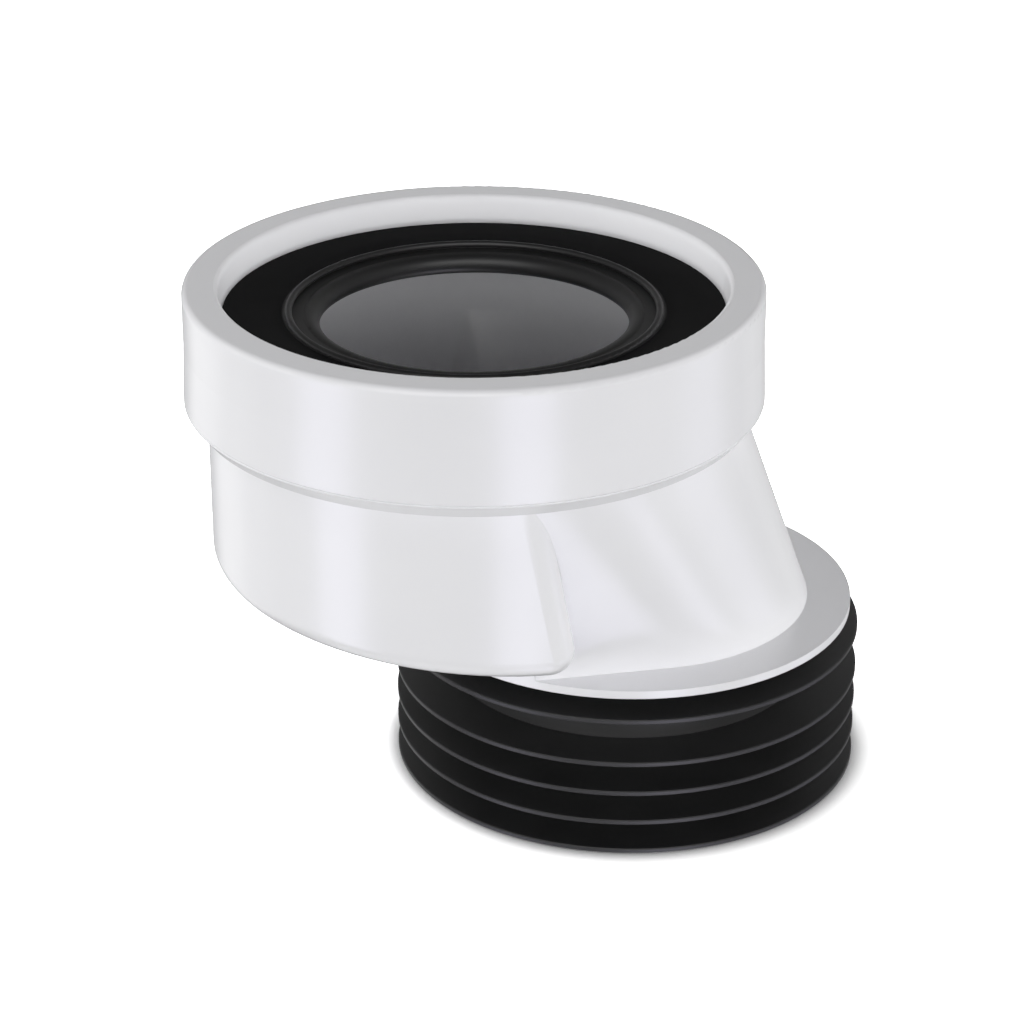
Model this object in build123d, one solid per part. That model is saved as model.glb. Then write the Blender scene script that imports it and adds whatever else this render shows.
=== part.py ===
from build123d import *
import math
import os

# Offset toilet pan connector. The pan outlet enters the wide socket at the top, past a rubber seal.
# A slanted duct leads to the outlet spigot, which carries a rubber sleeve with fins for the soil pipe.
# Z is the outlet axis, the sleeve stands on z = 0 and the inlet axis lies OFFSET away towards -X.
# Lengths are in millimetres and angles in degrees.
OFFSET = 36.3
WALL = 3.1
FIT_GAP = 0.1

# Outlet: the fins reach the wall of the soil pipe, and the sleeve, spigot and bore follow inwards from them
FIN_R = 55.0
FIN_REACH = 11.7
FIN_RIM = 1.15
FIN_ROOT = 1.9
FIN_EDGE = 0.2
FIN_PITCH = 7.48
LOWER_FINS = 4
TOP_FIN_GAP = 10.85
SLEEVE_NECK = 4.36
SLEEVE_WALL = 1.8
SLEEVE_END = 1.2
SPIGOT_WALL = 2.4
RIB_PROUD = 0.7
RIB_HIGH = 1.6
RIB_INSET = 9.0

# Flange between the spigot and the slanted duct
FLANGE_INSET = 2.0
FLANGE_THICK = 2.0

# Slanted duct: round at the flange and, just inside the wall of the cup, round at the socket.
# Its sides are flat and spread towards the inlet.
DUCT_INSET = 0.1
DUCT_WALL = 3.8
DUCT_RISE = 50.4
SIDE_SPREAD = 2.3

# Socket cup: its floor falls towards the outlet, and a leaning shoulder ends it where the duct takes over.
# The shoulder stands SHOULDER_X from the inlet axis at the top of the duct, with well rounded corners.
# Inside, two flanks at FLANK to the length of the part ease the step between cup and duct.
CUP_R = 61.3
CUP_RISE = 8.4
FLOOR_FALL = 4.4
FLOOR_ROUND = 1.9
SHOULDER_X = 8.4
SHOULDER_LEAN = 10.2
CORNER_EASE = 1.5
FLANK = 40.0

# Mouth of the socket: bevelled rim that the collar closes on, and the bead that the collar clips under
RIM_BEVEL_HIGH = 3.2
RIM_BEVEL_IN = 2.4
SEAM = 0.3
SOCKET_LONG = 16.8
CLIP_PROUD = 1.7
CLIP_LAND = 0.8
CLIP_RAMP = 2.0

# Retaining collar
COLLAR_GAP = 0.3
COLLAR_WALL = 2.83
COLLAR_FLARE = 0.47
COLLAR_FLARE_HIGH = 13.1
COLLAR_LIP_HIGH = 3.1
COLLAR_LEAD = 0.8
COLLAR_PLATE = 3.0
COLLAR_EDGE = 1.5
MOUTH_DEPTH = 6.9
MOUTH_TAPER = 0.8
MOUTH_EDGE = 0.9
NECK_INSET = 0.8
NECK_WALL = 3.2

# Inlet seal
OPENING_R = 35.19
SEAL_PLATE = 2.6
SEAL_SKIRT = 4.4
LIP = 2.46
LIP_DROP = 3.0
BEAD = 0.85
BEAD_OUT = 4.55
GROOVE_DROP = 0.8

# Radii that follow, from the outlet fins inwards and from the socket wall outwards
sleeve_r = FIN_R - FIN_REACH
sleeve_inner_r = sleeve_r - SLEEVE_WALL
spigot_r = sleeve_inner_r - FIT_GAP
rib_r = spigot_r + RIB_PROUD
bore_r = spigot_r - SPIGOT_WALL
flange_r = FIN_R - FLANGE_INSET
duct_r = bore_r + DUCT_WALL
side_r = duct_r + SIDE_SPREAD
cup_inner_r = CUP_R - WALL
floor_round = FLOOR_ROUND + WALL
corner_round = floor_round + CORNER_EASE
clip_r = CUP_R + CLIP_PROUD
collar_lip_r = CUP_R + COLLAR_GAP
collar_inner_r = clip_r + COLLAR_GAP
collar_r = collar_inner_r + COLLAR_WALL
rim_r = collar_r + COLLAR_FLARE
neck_outer_r = CUP_R - NECK_INSET
neck_r = neck_outer_r - NECK_WALL
mouth_r = neck_r + MOUTH_TAPER
skirt_r = collar_inner_r - FIT_GAP
lip_r = OPENING_R + LIP
bead_r = lip_r + BEAD_OUT

# Heights that follow, from the lowest fin upwards
fin_lows = [FIN_PITCH * count for count in range(LOWER_FINS)]
fin_lows.append(fin_lows[-1] + TOP_FIN_GAP)
flange_low = fin_lows[-1] + FIN_RIM + SLEEVE_NECK
flange_high = flange_low + FLANGE_THICK
rib_lows = (RIB_INSET, flange_low - RIB_INSET - RIB_HIGH)
floor_z = flange_high + CUP_RISE
foot_z = flange_high + DUCT_RISE
rim_z = foot_z + RIM_BEVEL_HIGH
clip_low = rim_z + COLLAR_LIP_HIGH
seat_z = rim_z + SOCKET_LONG
seal_top = seat_z + SEAL_PLATE
lip_z = seal_top - LIP_DROP
collar_top = seal_top + MOUTH_DEPTH
collar_under = collar_top - COLLAR_PLATE

INLET = Pos(-OFFSET, 0, 0)
STANDING = (Align.CENTER, Align.CENTER, Align.MIN)


def turned(outline):
    """A solid of revolution about Z from a flat face drawn in radius and height."""
    return revolve(Plane.XZ * outline, Axis.Z)


def drawn(points):
    """A flat face from its corners, each given as (radius, height)."""
    return make_face(Polyline(points, close=True))


def tube(outer, inner, low, high):
    return turned(drawn([(inner, low), (outer, low), (outer, high), (inner, high)]))


def eased(face, corners, cut):
    """Eases corners of a flat face by fillet or chamfer, each given as (radius, height, size)."""
    for radius, height, size in corners:
        corner = face.vertices().sort_by_distance((radius, height, 0))[0]
        face = cut(corner, size)
    return face


def slanted_duct(high_r, low_r, spread_r, edge_r):
    """Oblique cone from the flange to the socket, with flat tangent sides that reach back to edge_r.

    The round boss that joins the sides under the cup comes second.
    """
    low_ring = Pos(0, 0, flange_high) * Circle(low_r)
    high_ring = INLET * Pos(0, 0, foot_z) * Circle(high_r)
    cone = loft([low_ring, high_ring], ruled=True)
    across = (spread_r - low_r) / OFFSET
    along = math.sqrt(1 - across**2)
    reach = math.sqrt(edge_r**2 - low_r**2)
    top = (high_r * across - OFFSET, high_r * along, foot_z)
    near = (low_r * across, low_r * along, flange_high)
    far = (near[0] - reach * along, near[1] + reach * across, flange_high)
    top_b, near_b, far_b = [(x, -y, z) for x, y, z in (top, near, far)]
    sides = [
        (top, far, near),
        (top_b, near_b, far_b),
        (near, far, far_b, near_b),
        (top, top_b, far_b, far),
        (top, near, near_b, top_b),
    ]
    wedge = Solid(Shell([Face(Wire.make_polygon(side, close=True)) for side in sides]))
    boss = Pos(0, 0, flange_high) * Cylinder(edge_r, DUCT_RISE, align=STANDING)
    boss = split(boss, Plane(far, z_dir=(1, 0, 0)), keep=Keep.BOTTOM)
    return cone + wedge, boss


def cup(radius, inset, top):
    """Round socket cup up to top on its sloping floor, drawn in from its outer faces by inset.

    The plane of its floor comes second.
    """
    floor_up = Vector(0, 0, 1).rotate(Axis.Y, FLOOR_FALL)
    floor = Plane((-OFFSET, 0, floor_z), z_dir=floor_up).offset(inset)
    block = INLET * Cylinder(radius, top, align=STANDING)
    return split(block, floor, keep=Keep.TOP), floor


def oval_edges(block):
    """The oval edges that slanting planes leave on a round block, the lowest first."""
    return block.edges().filter_by(GeomType.ELLIPSE).sort_by(Axis.Z)


os.makedirs("parts", exist_ok=True)

# Connector body, outside: duct, boss and cup, with the corners of the cup rounded where it ends
outer_duct, outer_boss = slanted_duct(CUP_R - DUCT_INSET, duct_r, side_r, flange_r)
outer_cup, outer_floor = cup(CUP_R, 0, rim_z)
shoulder_out = Vector(1, 0, 0).rotate(Axis.Y, -SHOULDER_LEAN)
shoulder = Plane((SHOULDER_X - OFFSET, 0, foot_z), z_dir=shoulder_out)
outer_cup = split(outer_cup, shoulder, keep=Keep.BOTTOM)
outer_cup = fillet(oval_edges(outer_cup)[1:], corner_round)
outer_cup = fillet(outer_cup.faces().sort_by(Axis.Z)[0].edges(), floor_round)
outer_boss = split(outer_boss, outer_floor.offset(WALL), keep=Keep.BOTTOM)

# Connector body, inside: the way through it, whose flanks start at the top of the duct on either side
inner_duct, inner_boss = slanted_duct(cup_inner_r, bore_r, side_r - WALL, flange_r - WALL)
inner_cup, inner_floor = cup(cup_inner_r, WALL, foot_z)
flank_x = SHOULDER_X - WALL
flank_y = math.sqrt(cup_inner_r**2 - flank_x**2)
flank_in = math.sin(math.radians(FLANK))
flank_along = math.cos(math.radians(FLANK))
side_fall = (cup_inner_r - side_r + WALL) / DUCT_RISE
flank_up = math.tan(math.radians(SHOULDER_LEAN)) * flank_in - side_fall * flank_along
for side in (-1, 1):
    flank_out = (flank_in, side * flank_along, flank_up)
    flank = Plane((flank_x - OFFSET, side * flank_y, foot_z), z_dir=flank_out)
    inner_cup = split(inner_cup, flank, keep=Keep.BOTTOM)
inner_cup = fillet(oval_edges(inner_cup).sort_by(SortBy.LENGTH)[-1], FLOOR_ROUND)
inner_boss = split(inner_boss, inner_floor.offset(WALL), keep=Keep.BOTTOM)
inner_mouth = INLET * Pos(0, 0, foot_z) * Cylinder(cup_inner_r, seat_z - foot_z, align=STANDING)

# Connector body, mouth and outlet
socket_mouth = turned(
    drawn(
        [
            (cup_inner_r, foot_z),
            (rim_r - RIM_BEVEL_IN, foot_z),
            (rim_r, rim_z - SEAM),
            (rim_r - SEAM, rim_z),
            (CUP_R, rim_z),
            (CUP_R, clip_low),
            (clip_r, clip_low),
            (clip_r, clip_low + CLIP_LAND),
            (CUP_R, clip_low + CLIP_LAND + CLIP_RAMP),
            (CUP_R, seat_z),
            (cup_inner_r, seat_z),
        ]
    )
)
flange = tube(flange_r, bore_r, flange_low, flange_high)
spigot = tube(spigot_r, bore_r, SLEEVE_END, flange_low)
for low in rib_lows:
    spigot += tube(rib_r, bore_r, low, low + RIB_HIGH)
body = outer_duct + outer_boss + outer_cup + flange + spigot + INLET * socket_mouth
body = body - inner_duct - inner_cup - inner_boss - inner_mouth
export_step(body, "parts/connector_body.step")

# Retaining collar: cap ring with an inward lip that clips under the bead of the socket
collar_outline = drawn(
    [
        (collar_lip_r, rim_z + COLLAR_LEAD),
        (collar_lip_r + COLLAR_LEAD, rim_z),
        (rim_r - SEAM, rim_z),
        (rim_r, rim_z + SEAM),
        (collar_r, rim_z + COLLAR_FLARE_HIGH),
        (collar_r, collar_top),
        (mouth_r, collar_top),
        (neck_r, seal_top),
        (neck_outer_r, seal_top),
        (neck_outer_r, collar_under),
        (collar_inner_r, collar_under),
        (collar_inner_r, clip_low),
        (collar_lip_r, clip_low),
    ]
)
collar_edges = [(collar_r, collar_top, COLLAR_EDGE), (mouth_r, collar_top, MOUTH_EDGE)]
collar = INLET * turned(eased(collar_outline, collar_edges, fillet))
export_step(collar, "parts/retaining_collar.step")

# Inlet seal: plate clamped at its edge, skirt outside the socket wall, bead, shallow groove and rolled lip
seal_outline = drawn(
    [
        (lip_r, seat_z),
        (CUP_R + FIT_GAP, seat_z),
        (CUP_R + FIT_GAP, seat_z - SEAL_SKIRT),
        (skirt_r, seat_z - SEAL_SKIRT),
        (skirt_r, seal_top),
        (bead_r, seal_top),
        (bead_r, seal_top - GROOVE_DROP),
        (lip_r, seal_top - GROOVE_DROP),
    ]
)
seal_outline += Pos(bead_r, seal_top) * Circle(BEAD)
seal_outline += Pos(lip_r, lip_z) * Circle(LIP)
seal = INLET * turned(seal_outline)
export_step(seal, "parts/inlet_seal.step")

# Outlet fin seal: sleeve that grips the ribs of the spigot and turns in under its end, with flat fins
fin_seal = tube(sleeve_r, bore_r, 0, SLEEVE_END) + tube(sleeve_r, sleeve_inner_r, 0, flange_low)
for low in rib_lows:
    fin_seal -= tube(rib_r + FIT_GAP, bore_r, low - FIT_GAP, low + RIB_HIGH + FIT_GAP)
for low in fin_lows:
    root_low = low if low == 0 else low + FIN_RIM - FIN_ROOT
    fin_points = [
        (rib_r + FIT_GAP, root_low),
        (FIN_R, low),
        (FIN_R, low + FIN_RIM),
        (rib_r + FIT_GAP, root_low + FIN_ROOT),
    ]
    fin_edges = [(FIN_R, low, FIN_EDGE), (FIN_R, low + FIN_RIM, FIN_EDGE)]
    fin_seal += turned(eased(drawn(fin_points), fin_edges, chamfer))
export_step(fin_seal, "parts/outlet_fin_seal.step")
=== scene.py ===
import bmesh
import bpy
import math
from mathutils import Matrix, Vector


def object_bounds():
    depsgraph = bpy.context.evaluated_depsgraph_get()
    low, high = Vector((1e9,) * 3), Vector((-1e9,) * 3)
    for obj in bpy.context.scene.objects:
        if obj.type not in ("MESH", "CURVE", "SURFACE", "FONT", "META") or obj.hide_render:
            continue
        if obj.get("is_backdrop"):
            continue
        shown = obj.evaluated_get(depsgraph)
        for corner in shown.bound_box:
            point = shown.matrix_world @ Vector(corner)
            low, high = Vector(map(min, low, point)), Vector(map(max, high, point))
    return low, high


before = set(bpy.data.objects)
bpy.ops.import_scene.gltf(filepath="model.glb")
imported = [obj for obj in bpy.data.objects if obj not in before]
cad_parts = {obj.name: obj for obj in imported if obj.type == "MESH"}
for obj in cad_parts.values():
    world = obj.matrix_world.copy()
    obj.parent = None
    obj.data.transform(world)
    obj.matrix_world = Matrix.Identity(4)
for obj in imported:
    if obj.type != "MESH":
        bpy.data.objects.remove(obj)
cad_low, cad_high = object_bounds()

# Connector body: one white polypropylene moulding, from the socket cup down to the spigot.
# It is injection moulded in a polished tool, so the eye sees a satin, slightly milky skin with soft edges
# and slow waves where the wall sank as it cooled. Inside, its blends are wider.
MM = 0.001
PP_WHITE = "#EFEFF1"
PP_MILKY = "#E9E9EC"
PP_IOR = 1.49
PP_SPECULAR = 0.8
PP_ROUGHNESS = (0.2, 0.28)
PP_MOTTLE_MM = 30.0
PP_WAVE_MM = 18.0
PP_WAVE_DEEP_MM = 0.02
PP_GRAIN_MM = 0.5
PP_GRAIN_DEEP_MM = 0.002
PP_EDGE_MM = 0.35
PP_INSIDE_EDGE_MM = 2.5
INLET_AXIS_MM = -36.3
LEVEL = (1.0, 1.0, 0.0)


def linear(hex_colour):
    """Linear RGBA from an sRGB hex colour."""
    channels = [int(hex_colour[i : i + 2], 16) / 255 for i in (1, 3, 5)]
    return [c / 12.92 if c <= 0.04045 else ((c + 0.055) / 1.055) ** 2.4 for c in channels] + [1.0]


def add(tree, kind, inputs=None, **settings):
    """Adds a node, sets its properties, then sets or links its inputs by name or number."""
    node = tree.nodes.new(kind)
    for name, value in settings.items():
        setattr(node, name, value)
    for name, value in (inputs or {}).items():
        if isinstance(value, bpy.types.NodeSocket):
            tree.links.new(value, node.inputs[name])
        else:
            node.inputs[name].default_value = value
    return node


polypropylene = bpy.data.materials.new("polypropylene_moulded_satin")
polypropylene.use_nodes = True
tree = polypropylene.node_tree
shader = tree.nodes["Principled BSDF"]
place = add(tree, "ShaderNodeTexCoord").outputs["Object"]
mottle = add(tree, "ShaderNodeTexNoise", {"Vector": place, "Scale": 1 / (PP_MOTTLE_MM * MM)})
tint = add(
    tree,
    "ShaderNodeMix",
    {"Factor": mottle.outputs["Fac"], "A": linear(PP_WHITE), "B": linear(PP_MILKY)},
    data_type="RGBA",
)
gloss = add(
    tree,
    "ShaderNodeMapRange",
    {"Value": mottle.outputs["Fac"], "To Min": PP_ROUGHNESS[0], "To Max": PP_ROUGHNESS[1]},
)
# A face that looks towards the upright inlet axis is taken as inside.
from_axis = add(
    tree,
    "ShaderNodeVectorMath",
    {0: place, 1: LEVEL, 2: (-INLET_AXIS_MM * MM, 0.0, 0.0)},
    operation="MULTIPLY_ADD",
)
faces = add(tree, "ShaderNodeNewGeometry").outputs["True Normal"]
outward = add(
    tree,
    "ShaderNodeVectorMath",
    {0: from_axis.outputs["Vector"], 1: faces},
    operation="DOT_PRODUCT",
)
inside = add(tree, "ShaderNodeMath", {0: outward.outputs["Value"], 1: 0.0}, operation="LESS_THAN")
blend = add(
    tree,
    "ShaderNodeMapRange",
    {"Value": inside.outputs[0], "To Min": PP_EDGE_MM * MM, "To Max": PP_INSIDE_EDGE_MM * MM},
)
round_edge = add(tree, "ShaderNodeBevel", {"Radius": blend.outputs["Result"]}).outputs["Normal"]
wave = add(tree, "ShaderNodeTexNoise", {"Vector": place, "Scale": 1 / (PP_WAVE_MM * MM)})
sunk = add(
    tree,
    "ShaderNodeBump",
    {"Height": wave.outputs["Fac"], "Distance": PP_WAVE_DEEP_MM * MM, "Normal": round_edge},
)
# The skin's real grain is finer. It is drawn this coarse so that it shows.
grain = add(tree, "ShaderNodeTexNoise", {"Vector": place, "Scale": 1 / (PP_GRAIN_MM * MM)})
skin = add(
    tree,
    "ShaderNodeBump",
    {"Height": grain.outputs["Fac"], "Distance": PP_GRAIN_DEEP_MM * MM, "Normal": sunk.outputs["Normal"]},
)
tree.links.new(tint.outputs["Result"], shader.inputs["Base Color"])
tree.links.new(gloss.outputs["Result"], shader.inputs["Roughness"])
tree.links.new(skin.outputs["Normal"], shader.inputs["Normal"])
shader.inputs["IOR"].default_value = PP_IOR
shader.inputs["Specular IOR Level"].default_value = PP_SPECULAR
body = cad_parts["connector_body"]
body.data.materials.clear()
body.data.materials.append(polypropylene)

# Outlet fin seal: soft black rubber sleeve with flat fins, moulded in one and stretched over the spigot.
# Its smooth moulded skin shines a little, so the eye sees grey rims that mirror the pale cards below, and
# black between them.
FIN_BLACK = "#0C0C0D"
FIN_BLOOM = "#121213"
FIN_IOR = 1.5
FIN_SPECULAR = 1.0
FIN_ROUGHNESS = (0.42, 0.55)
FIN_BLOOM_MM = 12.0
FIN_GRAIN_MM = 0.7
FIN_GRAIN_DEEP_MM = 0.006
fin_rubber = bpy.data.materials.new("rubber_moulded_smooth")
fin_rubber.use_nodes = True
tree = fin_rubber.node_tree
shader = tree.nodes["Principled BSDF"]
place = add(tree, "ShaderNodeTexCoord").outputs["Object"]
bloom = add(tree, "ShaderNodeTexNoise", {"Vector": place, "Scale": 1 / (FIN_BLOOM_MM * MM)})
tint = add(
    tree,
    "ShaderNodeMix",
    {"Factor": bloom.outputs["Fac"], "A": linear(FIN_BLACK), "B": linear(FIN_BLOOM)},
    data_type="RGBA",
)
gloss = add(
    tree,
    "ShaderNodeMapRange",
    {"Value": bloom.outputs["Fac"], "To Min": FIN_ROUGHNESS[0], "To Max": FIN_ROUGHNESS[1]},
)
# The rubber's real grain is finer. It is drawn this coarse so that it shows.
grain = add(tree, "ShaderNodeTexNoise", {"Vector": place, "Scale": 1 / (FIN_GRAIN_MM * MM)})
skin = add(tree, "ShaderNodeBump", {"Height": grain.outputs["Fac"], "Distance": FIN_GRAIN_DEEP_MM * MM})
tree.links.new(tint.outputs["Result"], shader.inputs["Base Color"])
tree.links.new(gloss.outputs["Result"], shader.inputs["Roughness"])
tree.links.new(skin.outputs["Normal"], shader.inputs["Normal"])
shader.inputs["IOR"].default_value = FIN_IOR
shader.inputs["Specular IOR Level"].default_value = FIN_SPECULAR
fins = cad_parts["outlet_fin_seal"]
fins.data.materials.clear()
fins.data.materials.append(fin_rubber)

# Inlet seal: deep black rubber diaphragm, compression moulded and laid on the mouth of the socket.
# The tool leaves its flat plate matt, so the eye sees an even black ring, and polishes the bead and the
# rolled lip that touch the pan, so those catch a soft line of light.
SEAL_BLACK = "#0A0A0B"
SEAL_BLOOM = "#121213"
SEAL_IOR = 1.5
POLISHED_RADIUS_MM = 43.2
POLISHED_SPECULAR = 0.8
POLISHED_ROUGHNESS = 0.42
MATT_RADIUS_MM = 43.8
MATT_SPECULAR = 0.08
MATT_ROUGHNESS = 0.85
SEAL_BLOOM_MM = 14.0
SEAL_GRAIN_MM = 0.7
SEAL_GRAIN_DEEP_MM = 0.006
SEAL_EDGE_MM = 0.25
seal_rubber = bpy.data.materials.new("rubber_moulded_black")
seal_rubber.use_nodes = True
tree = seal_rubber.node_tree
shader = tree.nodes["Principled BSDF"]
place = add(tree, "ShaderNodeTexCoord").outputs["Object"]
bloom = add(tree, "ShaderNodeTexNoise", {"Vector": place, "Scale": 1 / (SEAL_BLOOM_MM * MM)})
tint = add(
    tree,
    "ShaderNodeMix",
    {"Factor": bloom.outputs["Fac"], "A": linear(SEAL_BLACK), "B": linear(SEAL_BLOOM)},
    data_type="RGBA",
)
from_axis = add(
    tree,
    "ShaderNodeVectorMath",
    {0: place, 1: LEVEL, 2: (-INLET_AXIS_MM * MM, 0.0, 0.0)},
    operation="MULTIPLY_ADD",
)
radius = add(tree, "ShaderNodeVectorMath", {0: from_axis.outputs["Vector"]}, operation="LENGTH")
matt = add(
    tree,
    "ShaderNodeMapRange",
    {"Value": radius.outputs["Value"], "From Min": POLISHED_RADIUS_MM * MM, "From Max": MATT_RADIUS_MM * MM},
)
gloss = add(
    tree,
    "ShaderNodeMapRange",
    {"Value": matt.outputs["Result"], "To Min": POLISHED_ROUGHNESS, "To Max": MATT_ROUGHNESS},
)
sheen = add(
    tree,
    "ShaderNodeMapRange",
    {"Value": matt.outputs["Result"], "To Min": POLISHED_SPECULAR, "To Max": MATT_SPECULAR},
)
round_edge = add(tree, "ShaderNodeBevel", {"Radius": SEAL_EDGE_MM * MM}).outputs["Normal"]
# The rubber's real grain is finer. It is drawn this coarse so that it shows.
grain = add(tree, "ShaderNodeTexNoise", {"Vector": place, "Scale": 1 / (SEAL_GRAIN_MM * MM)})
skin = add(
    tree,
    "ShaderNodeBump",
    {"Height": grain.outputs["Fac"], "Distance": SEAL_GRAIN_DEEP_MM * MM, "Normal": round_edge},
)
tree.links.new(tint.outputs["Result"], shader.inputs["Base Color"])
tree.links.new(gloss.outputs["Result"], shader.inputs["Roughness"])
tree.links.new(sheen.outputs["Result"], shader.inputs["Specular IOR Level"])
tree.links.new(skin.outputs["Normal"], shader.inputs["Normal"])
shader.inputs["IOR"].default_value = SEAL_IOR
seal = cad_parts["inlet_seal"]
seal.data.materials.clear()
seal.data.materials.append(seal_rubber)

# Retaining collar: cap ring of the same polypropylene, clipped over the mouth of the socket.
# Its turned-in neck holds down the edge of the rubber inlet seal.
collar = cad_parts["retaining_collar"]
collar.data.materials.clear()
collar.data.materials.append(polypropylene)

# Floor: plain matt white paper under the part, a hair below its lowest fin. Reflections don't see it.
# The camera sees it so bright that it goes to white. Close beside the fins, which hide half of the light
# there, real shade shows, deepened by a painted contact shadow: its colour darkens where an occlusion test
# finds the fins close. As a bounce for light it is pale grey.
FLOOR_HALF = 4.0
FLOOR_DROP = 0.0001
FLOOR_GREY = "#C0C0C0"
FLOOR_LIFT = 4.0
CONTACT_MM = 15.0
CONTACT_OPEN = 0.5
PAINTED_CONTACT_DARK = 0.2
ground = bpy.data.materials.new("paper_matt_white")
ground.use_nodes = True
tree = ground.node_tree
tree.nodes.clear()
rays = add(tree, "ShaderNodeLightPath").outputs
seen = add(
    tree,
    "ShaderNodeMath",
    {0: rays["Is Camera Ray"], 1: rays["Is Transmission Ray"]},
    operation="MAXIMUM",
)
bounce = add(tree, "ShaderNodeBsdfDiffuse", {"Color": linear(FLOOR_GREY)})
# Painted contact shadow: the colour the camera sees darkens where the occlusion test finds the fins close.
opened = add(tree, "ShaderNodeAmbientOcclusion", {"Distance": CONTACT_MM * MM})
painted_contact_shadow = add(
    tree,
    "ShaderNodeMapRange",
    {
        "Value": opened.outputs["AO"],
        "From Min": CONTACT_OPEN,
        "To Min": FLOOR_LIFT * PAINTED_CONTACT_DARK,
        "To Max": FLOOR_LIFT,
    },
)
shown = add(tree, "ShaderNodeBsdfDiffuse", {"Color": painted_contact_shadow.outputs["Result"]})
either = add(tree, "ShaderNodeMixShader", {0: seen.outputs[0], 1: bounce.outputs[0], 2: shown.outputs[0]})
add(tree, "ShaderNodeOutputMaterial", {"Surface": either.outputs[0]})


def sheet(name, matrix, material):
    """A flat square sheet of side 2, put in place by its matrix."""
    shape = bmesh.new()
    bmesh.ops.create_grid(shape, x_segments=1, y_segments=1, size=1.0, matrix=matrix)
    mesh = bpy.data.meshes.new(name)
    shape.to_mesh(mesh)
    shape.free()
    mesh.materials.append(material)
    piece = bpy.data.objects.new(name, mesh)
    bpy.context.scene.collection.objects.link(piece)
    piece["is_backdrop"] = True
    return piece


spread = Matrix.Diagonal((FLOOR_HALF, FLOOR_HALF, 1.0, 1.0))
floor = sheet("floor", Matrix.Translation((0.0, 0.0, -FLOOR_DROP)) @ spread, ground)
floor.visible_glossy = False

# Studio: a light tent, white to the eye. As light, its wall is bright above a short skirt and fades upward.
# Reflections see a dim room that is pale straight below, and the reflector cards. Heights are the Z of a
# direction: 0 at the horizon, 1 straight up and -1 straight down.
STUDIO_WHITE = "#FFFFFF"
TENT_GLOW = 7.2
TENT_HEM = 0.0
TENT_SKIRT = 0.08
TENT_TOP = 0.62
TENT_FADE = 2.0
ROOM_DIM = 0.1
ROOM_DIM_ABOVE = -0.78
ROOM_PALE = 1.2
ROOM_PALE_BELOW = -0.88
world = bpy.data.worlds.new("white_studio")
bpy.context.scene.world = world
world.use_nodes = True
tree = world.node_tree
tree.nodes.clear()
rays = add(tree, "ShaderNodeLightPath").outputs
seen = add(
    tree,
    "ShaderNodeMath",
    {0: rays["Is Camera Ray"], 1: rays["Is Glossy Ray"]},
    operation="MAXIMUM",
)
shown = add(
    tree,
    "ShaderNodeMath",
    {0: seen.outputs[0], 1: rays["Is Transmission Ray"]},
    operation="MAXIMUM",
)
place = add(tree, "ShaderNodeTexCoord").outputs["Generated"]
upward = add(tree, "ShaderNodeSeparateXYZ", {0: place}).outputs["Z"]
lower = add(
    tree,
    "ShaderNodeMapRange",
    {"Value": upward, "From Max": TENT_TOP, "To Min": 1.0, "To Max": 0.0},
)
faded = add(tree, "ShaderNodeMath", {0: lower.outputs["Result"], 1: TENT_FADE}, operation="POWER")
above = add(
    tree,
    "ShaderNodeMapRange",
    {"Value": upward, "From Min": TENT_HEM, "From Max": TENT_SKIRT, "To Max": TENT_GLOW},
)
tent = add(tree, "ShaderNodeMath", {0: faded.outputs[0], 1: above.outputs["Result"]}, operation="MULTIPLY")
below = add(
    tree,
    "ShaderNodeMapRange",
    {
        "Value": upward,
        "From Min": ROOM_PALE_BELOW,
        "From Max": ROOM_DIM_ABOVE,
        "To Min": ROOM_PALE,
        "To Max": ROOM_DIM,
    },
)
room = add(
    tree,
    "ShaderNodeMath",
    {0: rays["Is Camera Ray"], 1: below.outputs["Result"]},
    operation="MAXIMUM",
)
light = add(tree, "ShaderNodeBackground", {"Color": linear(STUDIO_WHITE), "Strength": tent.outputs[0]})
white = add(tree, "ShaderNodeBackground", {"Color": linear(STUDIO_WHITE), "Strength": room.outputs[0]})
either = add(tree, "ShaderNodeMixShader", {0: shown.outputs[0], 1: light.outputs[0], 2: white.outputs[0]})
add(tree, "ShaderNodeOutputWorld", {"Surface": either.outputs[0]})

# Camera: long lens a little above the part, as in the photograph.
# Its place and aim come from the ovals and edges of the part in the picture.
CAMERA_AT = Vector((-117.66, -659.59, 370.22)) * MM
CAMERA_AHEAD = Vector((0.1227, 0.8992, -0.4201))
LENS_MM = 110.0
SENSOR_MM = 36.0
camera = bpy.data.objects.new("camera", bpy.data.cameras.new("camera"))
bpy.context.scene.collection.objects.link(camera)
camera.location = CAMERA_AT
camera.rotation_euler = CAMERA_AHEAD.to_track_quat("-Z", "Y").to_euler()
camera.data.lens = LENS_MM
camera.data.sensor_width = SENSOR_MM
bpy.context.scene.camera = camera

# Softboxes: one overhead lights the tops and two high at the sides fill. Reflections don't see them.
# Each row is its turn from the camera to the right, its rise above the horizon, its side and its power.
LAMP_OUT = 1.5
LAMPS = (
    (-60.0, 74.0, 0.7, 0.6),
    (98.0, 40.0, 0.6, 1.8),
    (-100.0, 40.0, 0.6, 3.6),
)
back = Vector((-CAMERA_AHEAD.x, -CAMERA_AHEAD.y, 0.0)).normalized()
right = Vector((-back.y, back.x, 0.0))
up = Vector((0.0, 0.0, 1.0))
middle = (cad_low + cad_high) / 2


def towards(turn, rise):
    """Direction by its turn from the camera to the right and its rise above the horizon, in degrees."""
    flat = back * math.cos(math.radians(turn)) + right * math.sin(math.radians(turn))
    return flat * math.cos(math.radians(rise)) + up * math.sin(math.radians(rise))


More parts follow.
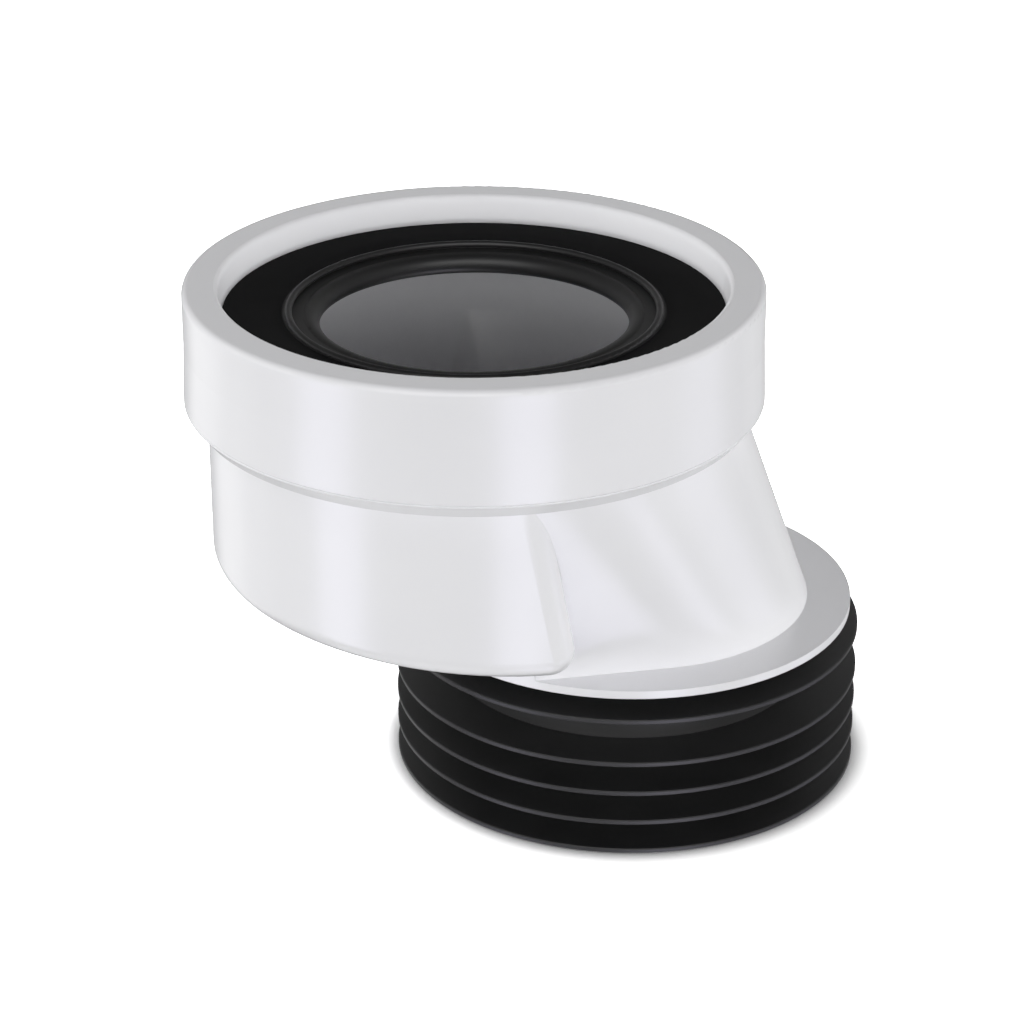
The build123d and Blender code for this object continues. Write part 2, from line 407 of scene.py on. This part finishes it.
for turn, rise, side, watts in LAMPS:
    lamp = bpy.data.lights.new("softbox", "AREA")
    lamp.size = side
    lamp.energy = watts
    softbox = bpy.data.objects.new("softbox", lamp)
    bpy.context.scene.collection.objects.link(softbox)
    out = towards(turn, rise)
    softbox.location = middle + out * LAMP_OUT
    softbox.rotation_euler = (-out).to_track_quat("-Z", "Y").to_euler()
    softbox.visible_glossy = False

# Reflector cards: pale cards that only reflections see, as soft bands on the white walls and on the rubber.
# Each row is its turn from the camera to the right, the angles below the horizon of its two edges (negative
# is above), its width as an angle, its brightness and its colour.
CARD_OUT = 1.5
CARD_WHITE = "#FFFFFF"
CARD_COOL = "#EBE9FF"
CARDS = (
    (-160.0, 8.0, 42.0, 30.0, 0.25, CARD_WHITE),
    (-130.0, 8.0, 42.0, 30.0, 0.95, CARD_WHITE),
    (-105.0, 8.0, 42.0, 20.0, 0.4, CARD_WHITE),
    (-58.0, 8.0, 42.0, 22.0, 2.2, CARD_COOL),
    (20.0, 8.0, 42.0, 22.0, 2.6, CARD_COOL),
    (98.0, 8.0, 42.0, 24.0, 0.8, CARD_COOL),
    (71.0, 26.0, 48.0, 12.0, 2.0, CARD_COOL),
    (34.0, 50.0, 72.0, 26.0, 2.7, CARD_COOL),
    (150.0, 8.0, 42.0, 40.0, 0.45, CARD_WHITE),
    (0.0, -50.0, -10.0, 80.0, 1.35, CARD_WHITE),
)
for turn, near, deep, angle, strength, tint in CARDS:
    card_glow = bpy.data.materials.new("card_lit")
    card_glow.use_nodes = True
    card_glow.cycles.emission_sampling = "NONE"
    tree = card_glow.node_tree
    tree.nodes.clear()
    glow = add(tree, "ShaderNodeEmission", {"Color": linear(tint), "Strength": strength})
    add(tree, "ShaderNodeOutputMaterial", {"Surface": glow.outputs[0]})
    out = towards(turn, 0.0)
    high = -CARD_OUT * math.tan(math.radians(near))
    low = -CARD_OUT * math.tan(math.radians(deep))
    half_wide = CARD_OUT * math.tan(math.radians(angle / 2))
    turned = Matrix((up.cross(out), up, out)).transposed().to_4x4()
    centre = middle + out * CARD_OUT + up * (high + low) / 2
    spread = Matrix.Diagonal((half_wide, (high - low) / 2, 1.0, 1.0))
    card = sheet("card", Matrix.Translation(centre) @ turned @ spread, card_glow)
    card.visible_camera = False
    card.visible_diffuse = False
    card.visible_transmission = False
    card.visible_shadow = False

# Finish: colours go to the picture as they are, without a film look.
bpy.context.scene.view_settings.view_transform = "Standard"
low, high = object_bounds()
